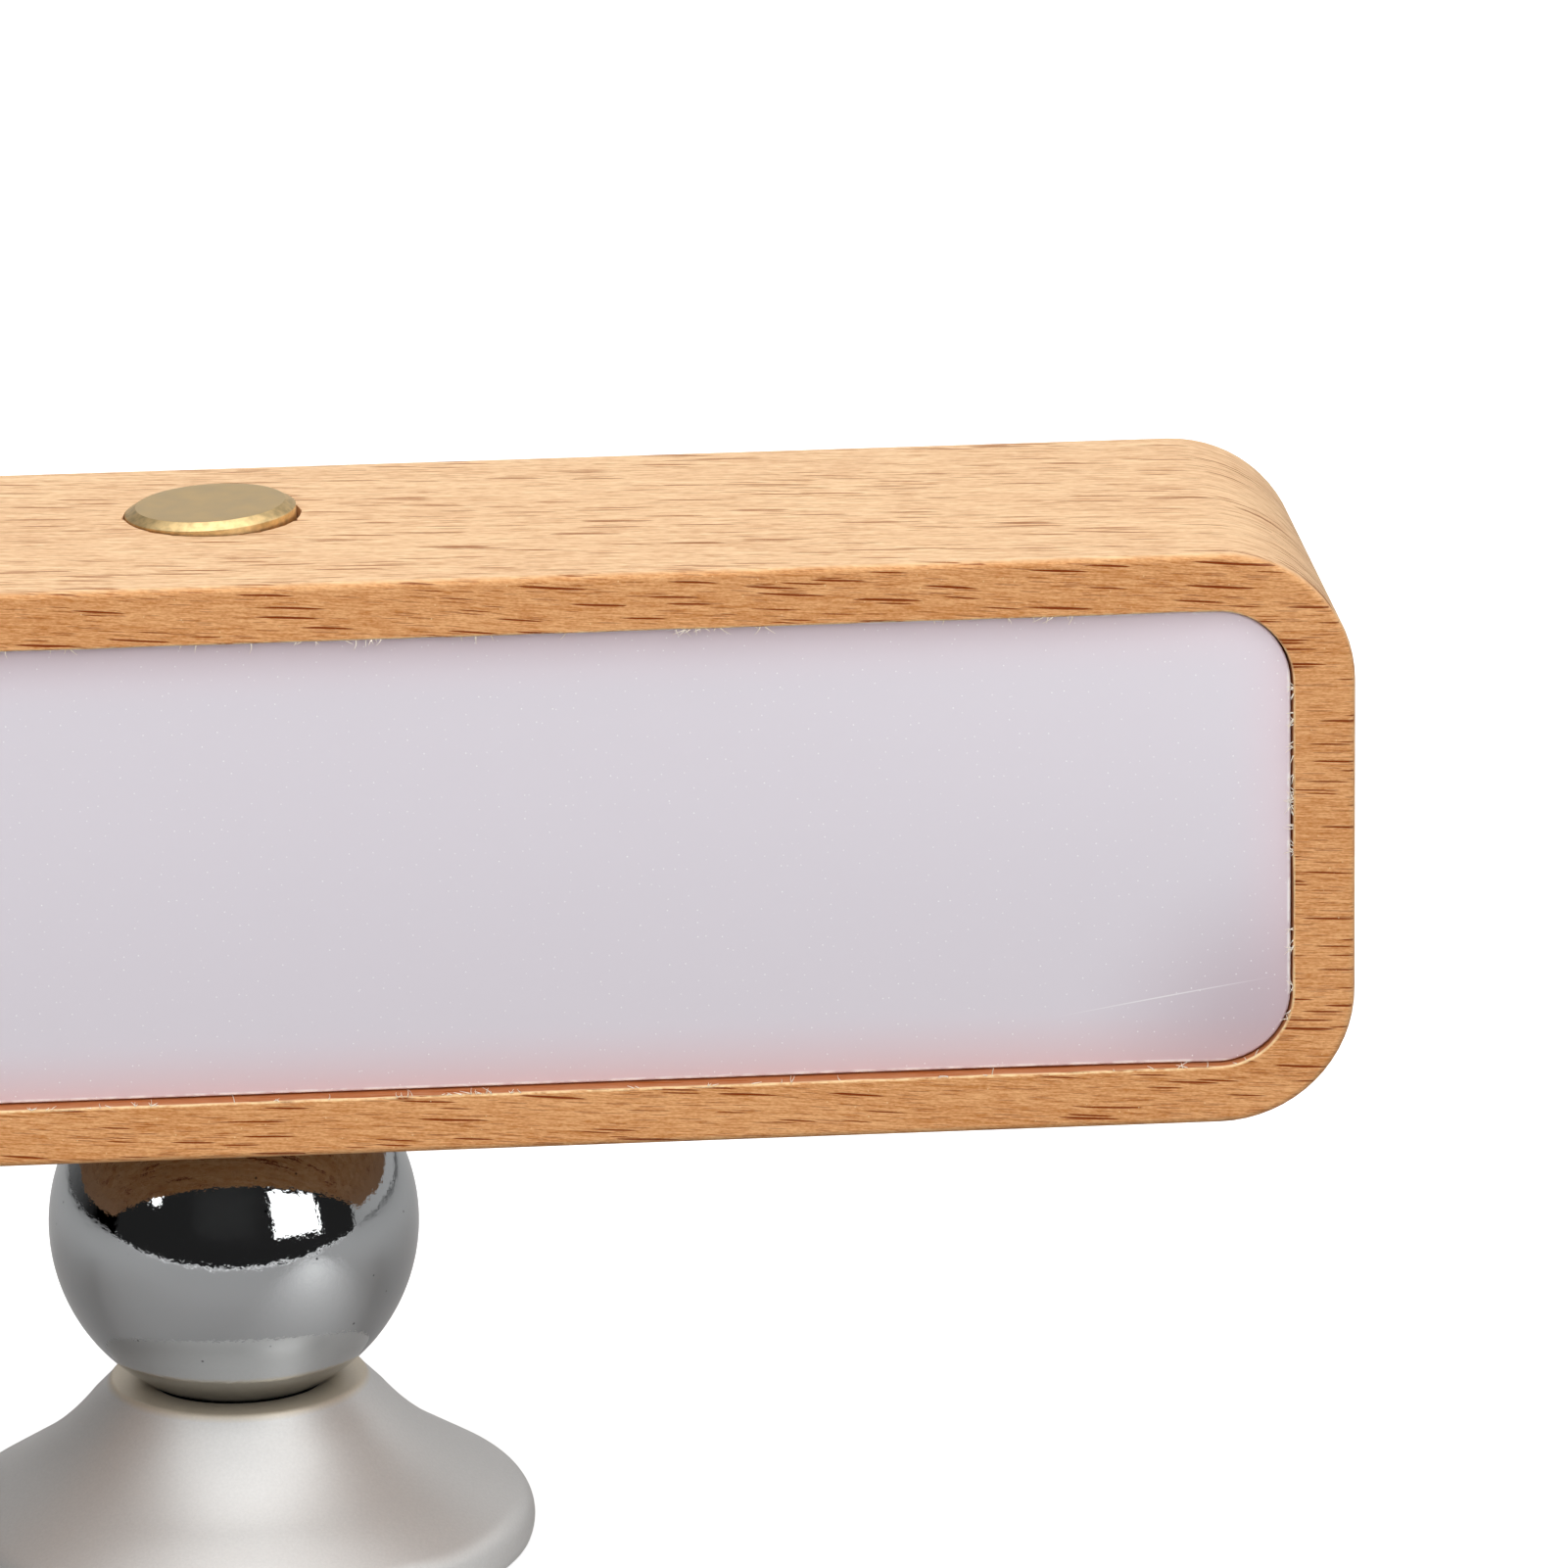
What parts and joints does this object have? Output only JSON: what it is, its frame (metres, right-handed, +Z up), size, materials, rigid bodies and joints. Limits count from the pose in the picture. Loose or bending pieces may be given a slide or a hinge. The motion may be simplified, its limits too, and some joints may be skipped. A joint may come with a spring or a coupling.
{
  "type": "rechargeable wall sconce",
  "caption": "Beech light bar with a frosted window and a brass button, held by magnets on a steel ball over a bell-shaped base that stands or goes on a wall; the bar swivels and tilts.",
  "frame": {"origin": "middle of the base's underside, on the surface that it stands on", "axes": "+Z up through the ball's centre, +X along the light bar, the light window towards -Y"},
  "size_m": [0.19, 0.051, 0.0925],
  "materials": {
    "satin_aluminium": "bead-blasted, satin",
    "plated_steel": "zinc plated",
    "magnet_nickel": "nickel plated",
    "black_foam": "closed-cell foam with an adhesive face",
    "black_rubber": "moulded silicone, matt",
    "polished_steel": "mirror polished and chromed",
    "beech": "sanded and oiled beech",
    "frosted_acrylic": "milky acrylic, satin face",
    "satin_brass": "turned, satin top and bright bevel",
    "black_plastic": "moulded, fine texture",
    "white_nylon": "moulded nylon",
    "white_board": "white solder mask",
    "green_board": "green solder mask",
    "led_phosphor": "phosphor in clear resin",
    "cell_wrap": "heat-shrunk sleeve",
    "clear_resin": "clear moulded rod",
    "lead_insulation": "soft insulation"
  },
  "bodies": {
    "base": {"base_shell": "satin_aluminium", "wall_plate": "plated_steel", "foam_pad": "black_foam"},
    "swivel_seat": {"magnet_pot": "plated_steel", "base_magnet": "magnet_nickel", "rubber_seat": "black_rubber"},
    "ball": {"steel_ball": "polished_steel"},
    "bar": {"wood_body": "beech", "diffuser": "frosted_acrylic", "ball_seat": "satin_aluminium", "bar_magnet": "magnet_nickel", "seat_screws": "plated_steel", "push_switch": "black_plastic", "led_board": "white_board", "led_chips": "led_phosphor", "led_spacers": "white_nylon", "led_screws": "plated_steel", "battery_holder": "black_plastic", "battery_cell": "cell_wrap", "battery_contacts": "magnet_nickel", "holder_screws": "plated_steel", "control_board": "green_board", "board_parts": "black_plastic", "board_spacers": "white_nylon", "board_screws": "plated_steel", "charging_socket": "plated_steel", "socket_tongue": "black_plastic", "charge_lamp": "clear_resin", "battery_leads": "lead_insulation", "led_leads": "lead_insulation"},
    "button": {"button_cap": "satin_brass", "switch_plunger": "black_plastic"}
  },
  "joints": [
    {"name": "bar_swivel", "type": "hinge", "parent": "base", "child": "swivel_seat", "pos_m": [0, 0, 0.029], "axis": [0, 0, 1], "continuous": true},
    {"name": "bar_nod", "type": "hinge", "parent": "swivel_seat", "child": "ball", "pos_m": [0, 0, 0.029], "axis": [1, 0, 0], "range_deg": [-45, 45]},
    {"name": "bar_sway", "type": "hinge", "parent": "ball", "child": "bar", "pos_m": [0, 0, 0.029], "axis": [0, 1, 0], "range_deg": [-22, 22]},
    {"name": "button_press", "type": "slide", "parent": "bar", "child": "button", "axis": [0, 0, -1], "range_m": [0, 0.0008], "stiffness_N_per_m": 1500, "springref_m": -0.0004}
  ]
}
